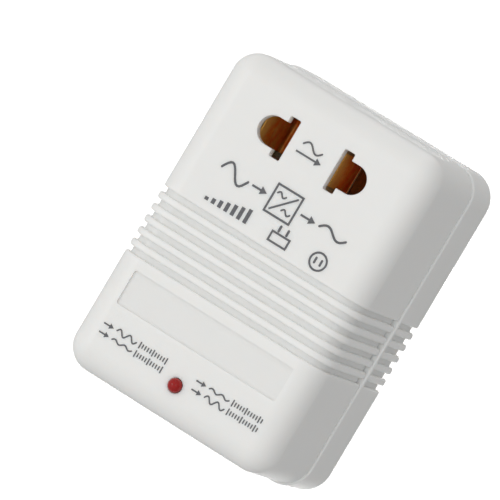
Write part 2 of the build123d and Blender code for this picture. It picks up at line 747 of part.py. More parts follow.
y_resistor = y_board_rear + resistor_radius
z_resistor = z_board - resistor_drop
x_resistor = resistor_length / 2
x_bend = x_resistor + resistor_lead_share * resistor_radius
resistor_leads = [
    wire([(side * x_resistor / 2, y_resistor, z_resistor), (side * x_bend, y_resistor, z_resistor),
          (side * x_bend, y_board_rear, z_resistor)], lead_side / 2, lead_side)
    for side in (-1, 1)
]
with BuildPart() as lamp_resistor:
    with Locations((0, y_resistor, z_resistor)):
        Cylinder(resistor_radius, resistor_length, rotation=(0, 90, 0))
    fillet(lamp_resistor.edges().filter_by(GeomType.CIRCLE), radius=resistor_radius * end_round_share)
    add(resistor_leads)
save(lamp_resistor.part, "lamp_resistor")

# Insulated wires, each along a route that is free of the other parts
z_low_row = z_selector - terminal_row
z_high_row = z_selector + terminal_row
y_lane_near = y_pin_end - lane_near
y_lane_mid = y_pin_end - lane_mid
y_lane_far = y_pin_end - lane_far
y_contact_end = y_holder_back + contact_tail_length
z_cross = z_core_top + cross_height
y_rear_drop = y_core_rear + drop_gap
y_front_drop = y_core_front - drop_gap
routes = {
    "wire_blade_to_selector": [
        (blade_places[1], y_tail, 0), (blade_places[1], y_lane_far, 0), (0, y_lane_far, z_low_row / 2),
        (0, y_lane_far, z_low_row), (0, y_pin_end, z_low_row)],
    "wire_selector_to_output": [
        (0, y_pin_end, z_high_row), (0, y_lane_mid, z_high_row), (-contact_tail_x, y_lane_mid, z_high_row),
        (-contact_tail_x, y_lane_mid, z_socket), (-contact_tail_x, y_contact_end, z_socket)],
    "wire_selector_to_tap": [
        (-terminal_pitch, y_pin_end, z_low_row), (-terminal_pitch, y_lane_near, z_low_row),
        (-terminal_pitch, y_lane_near, z_cross), (-terminal_pitch, y_rear_drop, z_cross),
        (-terminal_pitch, y_rear_drop, z_window_high)],
    "wire_selector_to_winding": [
        (terminal_pitch, y_pin_end, z_low_row), (terminal_pitch, y_lane_near, z_low_row),
        (terminal_pitch, y_lane_near, z_cross), (terminal_pitch, y_rear_drop, z_cross),
        (terminal_pitch, y_rear_drop, z_window_high)],
    "wire_blade_to_fuse": [
        (blade_places[0], y_tail, 0), (blade_places[0], y_fuse_up, 0),
        (x_fuse, y_fuse_up, fuse_up_end[2] / 2), fuse_up_end],
    "wire_fuse_to_winding": [
        fuse_front_end, (x_fuse, y_front_drop, z_fuse), (x_fuse, y_front_drop, z_window_high)],
    "wire_winding_to_output": [
        (contact_tail_x, y_contact_end, z_socket), (contact_tail_x, y_contact_end + lane_near, z_socket),
        (contact_tail_x, y_contact_end + lane_near, z_cross), (contact_tail_x, y_front_drop, z_cross),
        (contact_tail_x, y_front_drop, z_window_high)],
}
for name, points in routes.items():
    save(wire(points, wire_radius, wire_bend), name)
z_lamp_wire = z_board + board_height / 2 - lamp_wire_inset
y_lamp_lane = y_board_rear + lane_near
for name, side in (("left", -1), ("right", 1)):
    x_lamp_wire = side * (board_width / 2 - lamp_wire_inset)
    save(wire([(x_lamp_wire, y_board_rear, z_lamp_wire), (x_lamp_wire, y_lamp_lane, z_lamp_wire),
               (x_lamp_wire, y_lamp_lane, z_window_low)], thin_wire_radius, thin_wire_bend),
         f"lamp_wire_{name}")
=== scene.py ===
# %% [markdown]
# # A plug-in travel voltage converter
#
# The housing, blades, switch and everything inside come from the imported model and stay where
# they are. This script dresses them: it sets up the camera and the light, gives every part the
# finish of its real material, and lays the printing ink on the front as thin films.

# %% Set up
import json
import math

import bmesh
import bpy
from mathutils import Matrix, Vector


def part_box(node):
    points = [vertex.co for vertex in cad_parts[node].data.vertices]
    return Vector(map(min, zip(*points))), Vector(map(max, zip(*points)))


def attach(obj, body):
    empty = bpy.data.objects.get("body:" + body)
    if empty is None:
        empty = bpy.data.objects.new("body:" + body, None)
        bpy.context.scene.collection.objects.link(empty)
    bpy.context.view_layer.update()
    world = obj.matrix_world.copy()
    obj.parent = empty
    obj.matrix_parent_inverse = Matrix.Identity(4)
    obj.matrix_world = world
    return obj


MM = 0.001
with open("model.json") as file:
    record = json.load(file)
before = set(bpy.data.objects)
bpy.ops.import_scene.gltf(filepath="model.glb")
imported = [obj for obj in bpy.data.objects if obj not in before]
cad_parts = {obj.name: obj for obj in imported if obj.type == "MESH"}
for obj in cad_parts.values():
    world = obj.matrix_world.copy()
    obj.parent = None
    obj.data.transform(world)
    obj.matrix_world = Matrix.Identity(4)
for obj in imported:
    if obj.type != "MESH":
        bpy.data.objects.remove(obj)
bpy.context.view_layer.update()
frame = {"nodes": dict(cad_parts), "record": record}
nodes = frame["nodes"]
scene = bpy.context.scene

# %% [markdown]
# ## Places worked out from the model
#
# The camera is placed from the socket's centre, the lamps look at the middle, and the ink sits
# on the front face. These places are read from the parts' own boxes, so they follow the model.
# X runs to the right seen from the front, Y from the front face to the wall, Z up.

# %% Faces
front_low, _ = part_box("front_cover")
rear_low, rear_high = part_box("rear_cover")
contact_low, contact_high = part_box("output_contact_right")
face_y = front_low.y
wall_y = rear_high.y
bottom_z = rear_low.z
middle = Vector((0, (face_y + wall_y) / 2, (bottom_z + rear_high.z) / 2))
socket_z = (contact_low.z + contact_high.z) / 2
print("front face y", round(face_y / MM, 2), "socket z", round(socket_z / MM, 2))

# %% [markdown]
# ## Camera
#
# A catalogue photographer uses a long lens from some distance, so that the sides stay nearly
# parallel. The camera stands a little to the right of the front face and a little above it, and
# is rolled on its own axis, which makes the object lean in the picture. Straight edges of the
# photograph gave the three angles, the focal length and where the socket's centre falls.

# %% Place the camera
FRAME_PIXELS = 500
SENSOR_WIDTH = 36
FOCAL_PIXELS = 7155.5
PIXELS_PER_MM = 5.25
FAR_CLIP = 100
TURN_RIGHT = math.radians(18.5)
LOOK_DOWN = math.radians(3.261)
ROLL = math.radians(30.686)
DISTANCE = FOCAL_PIXELS / PIXELS_PER_MM * MM
# The socket's centre lies right of the picture's middle, and above it.
SOCKET_RIGHT = 11.763 * MM
SOCKET_DOWN = -18.102 * MM

# Rows: picture right, picture down, into the picture.
facing = Matrix(((1, 0, 0), (0, 0, -1), (0, 1, 0)))
aim = (
    Matrix.Rotation(ROLL, 3, "Z")
    @ Matrix.Rotation(LOOK_DOWN, 3, "X")
    @ Matrix.Rotation(TURN_RIGHT, 3, "Y")
    @ facing
)
socket_point = Vector((0, face_y, socket_z))
eye = socket_point - aim.transposed() @ Vector((SOCKET_RIGHT, SOCKET_DOWN, DISTANCE))
picture_right = aim[0]
picture_up = -aim[1]
picture_back = -aim[2]

lens = bpy.data.cameras.new("long_lens")
lens.sensor_width = SENSOR_WIDTH
lens.lens = FOCAL_PIXELS / FRAME_PIXELS * SENSOR_WIDTH
lens.clip_end = FAR_CLIP
camera = bpy.data.objects.new("camera", lens)
scene.collection.objects.link(camera)
turn = Matrix((picture_right, picture_up, picture_back)).transposed()
camera.matrix_world = Matrix.Translation(eye) @ turn.to_4x4()
scene.camera = camera
print("camera stands", round((eye - socket_point).length, 2), "m away, lens", round(lens.lens), "mm")

# %% [markdown]
# ## Light
#
# White plastic on white paper needs soft light from one side, or its ribs vanish. A large lamp
# level with the object, in front of it and to its left, makes the front the brightest side and
# leaves the right side in half shade. The sky is a smooth gradient, brightest in front, as in a
# light tent. A weak lamp beside the camera reaches into the openings, one above the right side
# lifts its edges, and one behind shows the blades. The paper is for the camera only: it throws
# no light and casts no shadow, so the tent's light also comes from below.

# %% A helper that adds one shader node
# A Mix node's colour sockets go by number, because its number sockets have the same names.
COLOUR_A = 6
COLOUR_B = 7
MIXED = 2


def add_node(tree, kind, sockets=None, **settings):
    """Add a node with its settings; each socket takes a value or another node's output."""
    made = tree.nodes.new(kind)
    for name, value in settings.items():
        setattr(made, name, value)
    for name, value in (sockets or {}).items():
        if isinstance(value, bpy.types.NodeSocket):
            tree.links.new(value, made.inputs[name])
        else:
            made.inputs[name].default_value = value
    return made


def colour(code):
    """Linear colour from an sRGB hex code such as #E6E6E4."""
    parts = [int(code[i:i + 2], 16) / 255 for i in (1, 3, 5)]
    linear = [p / 12.92 if p <= 0.04045 else ((p + 0.055) / 1.055) ** 2.4 for p in parts]
    return (*linear, 1.0)


# %% Sky
SKY_BRIGHT = 0.77
SKY_DIM = 0.34
bright_way = Vector((-0.35, -0.8, 0.03)).normalized()

sky = bpy.data.worlds.new("light_tent")
sky.use_nodes = True
scene.world = sky
tree = sky.node_tree
tree.nodes.clear()
place = add_node(tree, "ShaderNodeTexCoord")
towards = add_node(
    tree,
    "ShaderNodeVectorMath",
    {0: place.outputs["Generated"], 1: bright_way},
    operation="DOT_PRODUCT",
)
level = add_node(
    tree,
    "ShaderNodeMapRange",
    {
        "Value": towards.outputs["Value"],
        "From Min": -1.0,
        "From Max": 1.0,
        "To Min": SKY_DIM,
        "To Max": SKY_BRIGHT,
    },
    interpolation_type="SMOOTHSTEP",
)
glow = add_node(
    tree, "ShaderNodeBackground", {"Color": colour("#FFFFFF"), "Strength": level.outputs["Result"]}
)
add_node(tree, "ShaderNodeOutputWorld", {"Surface": glow.outputs["Background"]})
scene.view_settings.view_transform = "Standard"
scene.view_settings.look = "None"
print("sky runs from", SKY_DIM, "to", SKY_BRIGHT)

# %% Lamps
key_way = Vector((-0.235, -0.39, 0.0)).normalized()
fill_way = picture_back + picture_right * 0.25
edge_way = picture_up * 0.8 + picture_right * 0.5 - picture_back * 0.35
wall_side_way = Vector((-0.25, 1.0, -0.1))


def soft_lamp(name, way, distance, size, power, tint):
    """Square lamp that looks at the object's middle from a direction, in metres and watts."""
    data = bpy.data.lights.new(name, "AREA")
    data.shape = "SQUARE"
    data.size = size
    data.energy = power
    data.color = colour(tint)[:3]
    lamp = bpy.data.objects.new(name, data)
    scene.collection.objects.link(lamp)
    lamp.location = middle + way.normalized() * distance
    lamp.rotation_euler = way.to_track_quat("Z", "Y").to_euler()
    print(name, power, "W from", distance, "m")


soft_lamp("key_lamp", key_way, distance=1.6, size=0.6, power=4.1, tint="#FFFEFC")
soft_lamp("fill_lamp", fill_way, distance=1.0, size=0.25, power=0.6, tint="#FFFDFA")
soft_lamp("edge_lamp", edge_way, distance=0.8, size=0.5, power=0.8, tint="#FFFFFF")
soft_lamp("wall_side_lamp", wall_side_way, distance=1.2, size=0.6, power=4.6, tint="#FFFDFA")

# %% Paper
PAPER_HALF = 40.0
PAPER_GAP = 0.15 * MM
PAPER_GLOW = 0.75
paper_mesh = bpy.data.meshes.new("paper")
form = bmesh.new()
corners = [(x * PAPER_HALF, y * PAPER_HALF) for x, y in ((-1, -1), (1, -1), (1, 1), (-1, 1))]
form.faces.new([form.verts.new((x, y, bottom_z - PAPER_GAP)) for x, y in corners])
form.to_mesh(paper_mesh)
form.free()
paper = bpy.data.objects.new("paper", paper_mesh)
scene.collection.objects.link(paper)
paper.visible_diffuse = False
paper.visible_glossy = False
paper.visible_shadow = False

paper_look = bpy.data.materials.new("white_paper")
paper_look.use_nodes = True
tree = paper_look.node_tree
tree.nodes.clear()
spread = add_node(tree, "ShaderNodeBsdfDiffuse", {"Color": colour("#F4F4F2")})
lift = add_node(tree, "ShaderNodeEmission", {"Color": colour("#FFFFFF"), "Strength": PAPER_GLOW})
both = add_node(tree, "ShaderNodeAddShader", {0: spread.outputs[0], 1: lift.outputs[0]})
add_node(tree, "ShaderNodeOutputMaterial", {"Surface": both.outputs[0]})
paper_mesh.materials.append(paper_look)
print("paper at z", round((bottom_z - PAPER_GAP) / MM, 2))

# %% [markdown]
# ## A start for every finish
#
# Each finish is one Principled shader. Patterns are drawn in the object's own coordinates, in
# millimetres, so that grain and texture have a real size whichever part wears them.

# %% New finish, and a way to wear it
def new_finish(name, base, roughness, metallic=0.0, ior=None):
    """Material with one Principled shader; returns the material, its tree and the shader."""
    material = bpy.data.materials.new(name)
    material.use_nodes = True
    tree = material.node_tree
    tree.nodes.clear()
    sockets = {"Base Color": colour(base), "Roughness": roughness, "Metallic": metallic}
    if ior:
        sockets["IOR"] = ior
    shader = add_node(tree, "ShaderNodeBsdfPrincipled", sockets)
    add_node(tree, "ShaderNodeOutputMaterial", {"Surface": shader.outputs["BSDF"]})
    return material, tree, shader


def in_millimetres(tree, stretch=(1, 1, 1)):
    """Object coordinates turned to millimetres, and stretched along an axis if asked."""
    place = add_node(tree, "ShaderNodeTexCoord")
    sizes = tuple(k / MM for k in stretch)
    return add_node(
        tree, "ShaderNodeMapping", {"Vector": place.outputs["Object"], "Scale": sizes}
    ).outputs["Vector"]


def wear(material, *names):
    """Give the finish to parts by name."""
    for name in names:
        nodes[name].data.materials.clear()
        nodes[name].data.materials.append(material)
    print(material.name, "on", len(names), "parts")


# %% [markdown]
# ## Moulded ABS of the two covers
#
# ABS is the usual plastic of small mains housings. The steel mould is spark-eroded to a very
# fine grain, which turns the shine satin, and the thick white pigment lets a little light
# wander under the surface, which softens the ribs' shadows. Grain as real relief would be heavy
# and would change the mesh, so noise in a bump draws it. A real grain of 0.05 mm is too fine to
# show at this distance, so it is drawn at 0.35 mm and kept shallow.
#
# The shallow recess for a rating label stays empty. Its floor is coloured a little darker than the
# rest of the front. A box in the object's own coordinates picks out the floor.

# %% White ABS, its tint and its grain
GRAIN = 0.35
FLOW = 14.0
abs_white, tree, shader = new_finish("moulded_white_abs", "#EDEDEB", 0.42, ior=1.53)
spot = in_millimetres(tree)
grain = add_node(tree, "ShaderNodeTexNoise", {"Vector": spot, "Scale": 1 / GRAIN, "Detail": 2.0})
drift = add_node(tree, "ShaderNodeTexNoise", {"Vector": spot, "Scale": 1 / FLOW, "Detail": 3.0})
tint = add_node(
    tree,
    "ShaderNodeMix",
    {"Factor": drift.outputs["Fac"], COLOUR_A: colour("#ECECEA"), COLOUR_B: colour("#EFEFED")},
    data_type="RGBA",
)
satin = add_node(
    tree, "ShaderNodeMapRange", {"Value": drift.outputs["Fac"], "To Min": 0.38, "To Max": 0.47}
)
tree.links.new(satin.outputs["Result"], shader.inputs["Roughness"])
pores = add_node(
    tree, "ShaderNodeBump", {"Height": grain.outputs["Fac"], "Strength": 0.12, "Distance": 0.02 * MM}
)
tree.links.new(pores.outputs["Normal"], shader.inputs["Normal"])
print("grain", GRAIN, "mm, flow marks", FLOW, "mm")

# %% Floor of the label recess
# The recess as the model cuts it, in millimetres.
LABEL_DEPTH = 0.35
LABEL_HALF_WIDTH = 18.7
LABEL_HALF_HEIGHT = 3.65
LABEL_ABOVE_BOTTOM = 18.8
label_middle = (0, face_y / MM + LABEL_DEPTH, bottom_z / MM + LABEL_ABOVE_BOTTOM)
label_reach = (LABEL_HALF_WIDTH, LABEL_DEPTH / 2, LABEL_HALF_HEIGHT)
away = add_node(tree, "ShaderNodeVectorMath", {0: spot, 1: label_middle}, operation="SUBTRACT")
within = add_node(tree, "ShaderNodeVectorMath", {0: away.outputs["Vector"]}, operation="ABSOLUTE")
reach = add_node(
    tree,
    "ShaderNodeVectorMath",
    {0: label_reach, 1: within.outputs["Vector"]},
    operation="SUBTRACT",
)
sides = add_node(tree, "ShaderNodeSeparateXYZ", {"Vector": reach.outputs["Vector"]})
narrow = add_node(
    tree, "ShaderNodeMath", {0: sides.outputs["X"], 1: sides.outputs["Y"]}, operation="MINIMUM"
)
inside = add_node(
    tree, "ShaderNodeMath", {0: narrow.outputs[0], 1: sides.outputs["Z"]}, operation="MINIMUM"
)
on_label = add_node(tree, "ShaderNodeMath", {0: inside.outputs[0], 1: 0.0}, operation="GREATER_THAN")
# The floor of the recess gets a slightly darker colour than the rest of the front.
darker_floor = add_node(
    tree,
    "ShaderNodeMix",
    {"Factor": on_label.outputs[0], COLOUR_A: tint.outputs[MIXED], COLOUR_B: colour("#EAEAE8")},
    data_type="RGBA",
)
tree.links.new(darker_floor.outputs[MIXED], shader.inputs["Base Color"])
print("label recess", 2 * LABEL_HALF_WIDTH, "by", 2 * LABEL_HALF_HEIGHT, "mm")

# %% Light that wanders under the surface
shader.inputs["Subsurface Weight"].default_value = 0.8
shader.inputs["Subsurface Radius"].default_value = (1.0, 0.92, 0.86)
shader.inputs["Subsurface Scale"].default_value = 1.3 * MM
wear(abs_white, "front_cover", "rear_cover")

# %% [markdown]
# ## Plug block and blades
#
# The plug block is the same kind of plastic from a polished mould, so it shines a little more
# and has slow swells in place of grain. The blades are stamped from brass, plated thinly with
# nickel, and polished along their length. That leaves fine lines, drawn by a noise that is
# stretched along the blade, since a plain noise would look cast.

# %% Plug block
SWELL = 2.5
block_look, tree, shader = new_finish("polished_mould_plastic", "#E9E8E5", 0.30, ior=1.53)
spot = in_millimetres(tree)
swell = add_node(tree, "ShaderNodeTexNoise", {"Vector": spot, "Scale": 1 / SWELL, "Detail": 2.0})
ripple = add_node(
    tree, "ShaderNodeBump", {"Height": swell.outputs["Fac"], "Strength": 0.1, "Distance": 0.02 * MM}
)
tree.links.new(ripple.outputs["Normal"], shader.inputs["Normal"])
wear(block_look, "plug_block")

# %% Nickel plate on the blades
POLISH_LINE = 0.12
LINE_STRETCH = (1, 0.04, 1)
NICKEL_CLOUD = 4.0
nickel, tree, shader = new_finish("nickel_plate_on_brass", "#CFC6BA", 0.24, metallic=1.0)
along = in_millimetres(tree, stretch=LINE_STRETCH)
spot = in_millimetres(tree)
lines = add_node(tree, "ShaderNodeTexNoise", {"Vector": along, "Scale": 1 / POLISH_LINE, "Detail": 3.0})
cloud = add_node(tree, "ShaderNodeTexNoise", {"Vector": spot, "Scale": 1 / NICKEL_CLOUD, "Detail": 3.0})
shade = add_node(
    tree,
    "ShaderNodeMix",
    {"Factor": cloud.outputs["Fac"], COLOUR_A: colour("#D6CFC5"), COLOUR_B: colour("#BDB2A4")},
    data_type="RGBA",
)
tree.links.new(shade.outputs[MIXED], shader.inputs["Base Color"])
dull = add_node(
    tree, "ShaderNodeMapRange", {"Value": lines.outputs["Fac"], "To Min": 0.18, "To Max": 0.30}
)
tree.links.new(dull.outputs["Result"], shader.inputs["Roughness"])
score = add_node(
    tree, "ShaderNodeBump", {"Height": lines.outputs["Fac"], "Strength": 0.1, "Distance": 0.01 * MM}
)
tree.links.new(score.outputs["Normal"], shader.inputs["Normal"])
wear(nickel, "plug_blade_left", "plug_blade_right")

# %% [markdown]
# ## Output contacts
#
# The contacts are bent from springy phosphor bronze, and so are the switch's two bridges. It is
# orange, golden at the tips by a painted highlight, and dark brown on the middle leaf of each
# contact by painted shade. Three finishes would need the part cut up. One finish that asks how
# far a point lies from the tips and from the middle leaf keeps it whole.

# %% Phosphor bronze with warm patches
WARM_PATCH = 2.2
# A thin oxide film scatters part of the light, so the metallic value stays below 1.
bronze, tree, shader = new_finish("phosphor_bronze", "#E0975A", 0.36, metallic=0.5)
spot = in_millimetres(tree)
warmth = add_node(tree, "ShaderNodeTexNoise", {"Vector": spot, "Scale": 1 / WARM_PATCH, "Detail": 4.0})
ramp = add_node(tree, "ShaderNodeValToRGB", {"Fac": warmth.outputs["Fac"]})
for stop, (position, code) in zip(ramp.color_ramp.elements, ((0.35, "#FF8424"), (0.62, "#FFB458"))):
    stop.position = position
    stop.color = colour(code)
print("warm patches", WARM_PATCH, "mm")

# %% Painted highlight on the leaf tips
LEAF_TIP_Y = contact_low.y / MM
HIGHLIGHT_LENGTH = 5.0
where = add_node(tree, "ShaderNodeSeparateXYZ", {"Vector": spot})
# Painted highlight: the colour turns light gold over the last few millimetres towards the leaf tips.
painted_highlight = add_node(
    tree,
    "ShaderNodeMapRange",
    {
        "Value": where.outputs["Y"],
        "From Min": LEAF_TIP_Y,
        "From Max": LEAF_TIP_Y + HIGHLIGHT_LENGTH,
        "To Min": 0.9,
        "To Max": 0.0,
    },
    interpolation_type="SMOOTHSTEP",
)
brightened = add_node(
    tree,
    "ShaderNodeMix",
    {
        "Factor": painted_highlight.outputs["Result"],
        COLOUR_A: ramp.outputs["Color"],
        COLOUR_B: colour("#FFCA6C"),
    },
    data_type="RGBA",
)
print("rubbed clean from y", round(LEAF_TIP_Y, 1), "to", round(LEAF_TIP_Y + HIGHLIGHT_LENGTH, 1))

# %% Painted shade on the middle leaf
MIDDLE_LEAF_SIDE_X = 7.58
LEAF_SHADE_HALF = 0.36
LEAF_SHADE_END = 0.42
# Painted shade: points within a few tenths of a millimetre of the middle leaf's side are coloured dark
# brown.
outward = add_node(tree, "ShaderNodeMath", {0: where.outputs["X"]}, operation="ABSOLUTE")
beyond = add_node(
    tree, "ShaderNodeMath", {0: outward.outputs[0], 1: MIDDLE_LEAF_SIDE_X}, operation="SUBTRACT"
)
off_side = add_node(tree, "ShaderNodeMath", {0: beyond.outputs[0]}, operation="ABSOLUTE")
leaf_shade_share = add_node(
    tree,
    "ShaderNodeMapRange",
    {
        "Value": off_side.outputs[0],
        "From Min": LEAF_SHADE_HALF,
        "From Max": LEAF_SHADE_END,
        "To Min": 0.95,
        "To Max": 0.0,
    },
)
painted_leaf_shade = add_node(
    tree,
    "ShaderNodeMix",
    {
        "Factor": leaf_shade_share.outputs["Result"],
        COLOUR_A: brightened.outputs[MIXED],
        COLOUR_B: colour("#2E1B10"),
    },
    data_type="RGBA",
)
tree.links.new(painted_leaf_shade.outputs[MIXED], shader.inputs["Base Color"])
print("painted_shade within", LEAF_SHADE_HALF, "mm of x", MIDDLE_LEAF_SIDE_X)

# %% Dents from the bending tool
DENT = 1.6
dents = add_node(tree, "ShaderNodeTexNoise", {"Vector": spot, "Scale": 1 / DENT, "Detail": 3.0})
uneven = add_node(
    tree, "ShaderNodeBump", {"Height": dents.outputs["Fac"], "Strength": 0.6, "Distance": 0.3 * MM}
)
tree.links.new(uneven.outputs["Normal"], shader.inputs["Normal"])
wear(bronze, "output_contact_left", "output_contact_right")
wear(bronze, "selector_bridge_lower", "selector_bridge_upper")

# %% [markdown]
# ## Plain metals
#
# The screws are steel with a thin nickel plate, turned on a lathe, which leaves rings too fine
# to see and a slightly broken shine. Terminals and lamp leads are dipped in tin, which is paler
# and softer. The fuse's shell is drawn aluminium, with lines along its length. All are the same
# recipe, so one function makes them: a metal whose roughness and tint drift a little.

# %% A metal with a drifting shine
SMOOTHEST = 0.75
DULLEST = 1.3


def plated(name, base, other, roughness, cloud_size, groove_size, stretch=(1, 1, 1)):
    """Metal with a tint that drifts between two colours and a fine surface relief."""
    material, tree, shader = new_finish(name, base, roughness, metallic=1.0)
    spot = in_millimetres(tree)
    grooves = in_millimetres(tree, stretch)
    cloud = add_node(tree, "ShaderNodeTexNoise", {"Vector": spot, "Scale": 1 / cloud_size, "Detail": 3.0})
    shade = add_node(
        tree,
        "ShaderNodeMix",
        {"Factor": cloud.outputs["Fac"], COLOUR_A: colour(base), COLOUR_B: colour(other)},
        data_type="RGBA",
    )
    tree.links.new(shade.outputs[MIXED], shader.inputs["Base Color"])
    fine = add_node(
        tree, "ShaderNodeTexNoise", {"Vector": grooves, "Scale": 1 / groove_size, "Detail": 2.0}
    )
    dull = add_node(
        tree,
        "ShaderNodeMapRange",
        {
            "Value": fine.outputs["Fac"],
            "To Min": roughness * SMOOTHEST,
            "To Max": roughness * DULLEST,
        },
    )
    tree.links.new(dull.outputs["Result"], shader.inputs["Roughness"])
    relief = add_node(
        tree, "ShaderNodeBump", {"Height": fine.outputs["Fac"], "Strength": 0.2, "Distance": 0.01 * MM}
    )
    tree.links.new(relief.outputs["Normal"], shader.inputs["Normal"])
    return material


# %% Screws, tinned parts, fuse shell
TINNED = ("selector_terminal_", "selector_jumper_", "lamp_lead_")
screw_plate = plated("nickel_plated_steel", "#BDB2A4", "#8F857A", 0.30, cloud_size=1.2, groove_size=0.15)
wear(screw_plate, *[name for name in nodes if "_screw_" in name])
tin = plated("tin_dipped_brass", "#D2D0CB", "#B9B6AE", 0.26, cloud_size=1.5, groove_size=0.3)
wear(tin, *[name for name in nodes if name.startswith(TINNED)])
fuse_shell = plated(
    "drawn_aluminium", "#BFC0C1", "#A9AAAC", 0.34, cloud_size=2.0, groove_size=0.2, stretch=(1, 0.1, 1)
)
wear(fuse_shell, "thermal_fuse")

# %% [markdown]
# ## Core and winding
#
# A transformer core is a stack of silicon-steel sheets half a millimetre thick, dipped in a dark
# varnish, so its sides show fine lines. The winding is copper wire under a clear amber enamel.
# Each sheet and turn as geometry would be heavy, so a wave pattern draws them as fine ridges,
# with the thickness of one sheet or one wire as its spacing.

# %% Laminated core
# Blender's wave pattern runs through 20 radians per unit of length at a scale of 1.
WAVE_RADIANS = 20
SHEET = 0.5
VARNISH_CLOUD = 3.0
core_look, tree, shader = new_finish("varnished_silicon_steel", "#4A4A4C", 0.38, metallic=0.75)
spot = in_millimetres(tree)
sheets = add_node(
    tree,
    "ShaderNodeTexWave",
    {
        "Vector": spot,
        "Scale": math.tau / WAVE_RADIANS / SHEET,
        "Distortion": 0.3,
        "Detail": 1.0,
        "Detail Scale": 2.0,
    },
    bands_direction="Y",
    wave_profile="SAW",
)
varnish = add_node(tree, "ShaderNodeTexNoise", {"Vector": spot, "Scale": 1 / VARNISH_CLOUD, "Detail": 4.0})
shade = add_node(
    tree,
    "ShaderNodeMix",
    {"Factor": varnish.outputs["Fac"], COLOUR_A: colour("#3A3633"), COLOUR_B: colour("#5A5C60")},
    data_type="RGBA",
)
tree.links.new(shade.outputs[MIXED], shader.inputs["Base Color"])
edges = add_node(
    tree, "ShaderNodeBump", {"Height": sheets.outputs["Fac"], "Strength": 0.5, "Distance": 0.06 * MM}
)
tree.links.new(edges.outputs["Normal"], shader.inputs["Normal"])
wear(core_look, "core_e_stack", "core_i_stack")

# %% Enamelled wire of the winding
TURN = 0.45
winding_look, tree, shader = new_finish("enamelled_copper", "#A8501E", 0.28, metallic=0.85)
spot = in_millimetres(tree)
turns = add_node(
    tree,
    "ShaderNodeTexWave",
    {"Vector": spot, "Scale": math.tau / WAVE_RADIANS / TURN, "Distortion": 0.6, "Detail": 1.0},
    bands_direction="Z",
    wave_profile="SIN",
)
# Painted shade: the colour runs from dark between the turns to light on their crests, in step with the
# ridges.
enamel_and_turn_shade = add_node(
    tree,
    "ShaderNodeMix",
    {"Factor": turns.outputs["Fac"], COLOUR_A: colour("#6E2C0E"), COLOUR_B: colour("#C46A2C")},
    data_type="RGBA",
)
tree.links.new(enamel_and_turn_shade.outputs[MIXED], shader.inputs["Base Color"])
ridges = add_node(
    tree, "ShaderNodeBump", {"Height": turns.outputs["Fac"], "Strength": 0.8, "Distance": 0.12 * MM}
)
tree.links.new(ridges.outputs["Normal"], shader.inputs["Normal"])
shader.inputs["Coat Weight"].default_value = 0.4
wear(winding_look, "winding")

# %% [markdown]
# ## Small plastics, boards and wire covers
#
# Everything else inside is dyed plastic: a base colour that drifts slightly, a shine that
# depends on the mould or the extruder, and a fine unevenness. One helper makes them, and the
# sizes of the drift and of the unevenness come from the real material. Nylon of the bobbin and
# the contact holder is slightly see-through at its thin flanges.

# %% A dyed plastic
SEE_THROUGH_DEPTH = 1.5 * MM


def dyed(name, base, other, roughness, drift_size, rough_size, relief_height, through=0.0, ior=1.5):
    """Plastic with two drifting tones and a shallow relief, its sizes in millimetres."""
    material, tree, shader = new_finish(name, base, roughness, ior=ior)
    spot = in_millimetres(tree)
    drift = add_node(tree, "ShaderNodeTexNoise", {"Vector": spot, "Scale": 1 / drift_size, "Detail": 3.0})
    shade = add_node(
        tree,
        "ShaderNodeMix",
        {"Factor": drift.outputs["Fac"], COLOUR_A: colour(base), COLOUR_B: colour(other)},
        data_type="RGBA",
    )
    tree.links.new(shade.outputs[MIXED], shader.inputs["Base Color"])
    fine = add_node(tree, "ShaderNodeTexNoise", {"Vector": spot, "Scale": 1 / rough_size, "Detail": 2.0})
    relief = add_node(
        tree,
        "ShaderNodeBump",
        {"Height": fine.outputs["Fac"], "Strength": 0.2, "Distance": relief_height * MM},
    )
    tree.links.new(relief.outputs["Normal"], shader.inputs["Normal"])
    if through:
        shader.inputs["Subsurface Weight"].default_value = through
        shader.inputs["Subsurface Scale"].default_value = SEE_THROUGH_DEPTH
    return material


# %% Holder, bobbin, switch, boards, tape, resistor
# Each row: name, two tones, roughness, drift, unevenness and relief in mm, see-through share, IOR.
PLASTICS = [
    (("natural_nylon", "#BFB091", "#CABD9F", 0.40, 6.0, 0.5, 0.02, 0.2), ("contact_holder", "bobbin")),
    (("black_nylon", "#1D1C1B", "#272524", 0.36, 3.0, 0.25, 0.03), ("selector_frame", "selector_slider")),
    (("phenolic_paper_board", "#6B3E1C", "#7E4C24", 0.5, 1.2, 0.15, 0.02), ("selector_base", "lamp_board")),
    (("polyester_tape", "#D9A514", "#E6B62A", 0.22, 8.0, 1.5, 0.05, 0.0, 1.6), ("winding_tape",)),
    (("lacquered_ceramic", "#C9AE82", "#D6BD92", 0.3, 2.0, 0.4, 0.02), ("lamp_resistor",)),
]
for recipe, names in PLASTICS:
    wear(dyed(*recipe), *names)

# %% PVC of the wires
WIRE_COLOURS = {
    "wire_red": ("#9C1F1A", "#A82822"),
    "wire_black": ("#1B1B1C", "#252526"),
    "wire_white": ("#D9D7D0", "#E2E0DA"),
    "wire_yellow": ("#D8A41C", "#E0B030"),
    "wire_blue": ("#1E4C9A", "#2A59A8"),
}
slot_of = {part["node"]: part["material_slot"] for part in frame["record"]["subparts"]}
for slot, (base, other) in WIRE_COLOURS.items():
    cover = dyed(
        slot.replace("wire", "pvc"), base, other, 0.42, drift_size=2.0, rough_size=0.3, relief_height=0.02
    )
    wear(cover, *[name for name in nodes if slot_of[name] == slot])

# %% [markdown]
# ## Printed marks
#
# The front is pad printed: a soft silicone pad lays down a film of grey ink about 0.01 mm thick.
# Its marks are plain signs that any such converter could carry: alternating-current waves, the
# square that stands for a converter, a plug, a socket, arrows and scales. An image texture would
# blur at the edges, and a bump can't give ink its own colour, so each sign is a thin film of real
# geometry. A ribbon follows a row of points, keeps its width at the corners and has round ends.

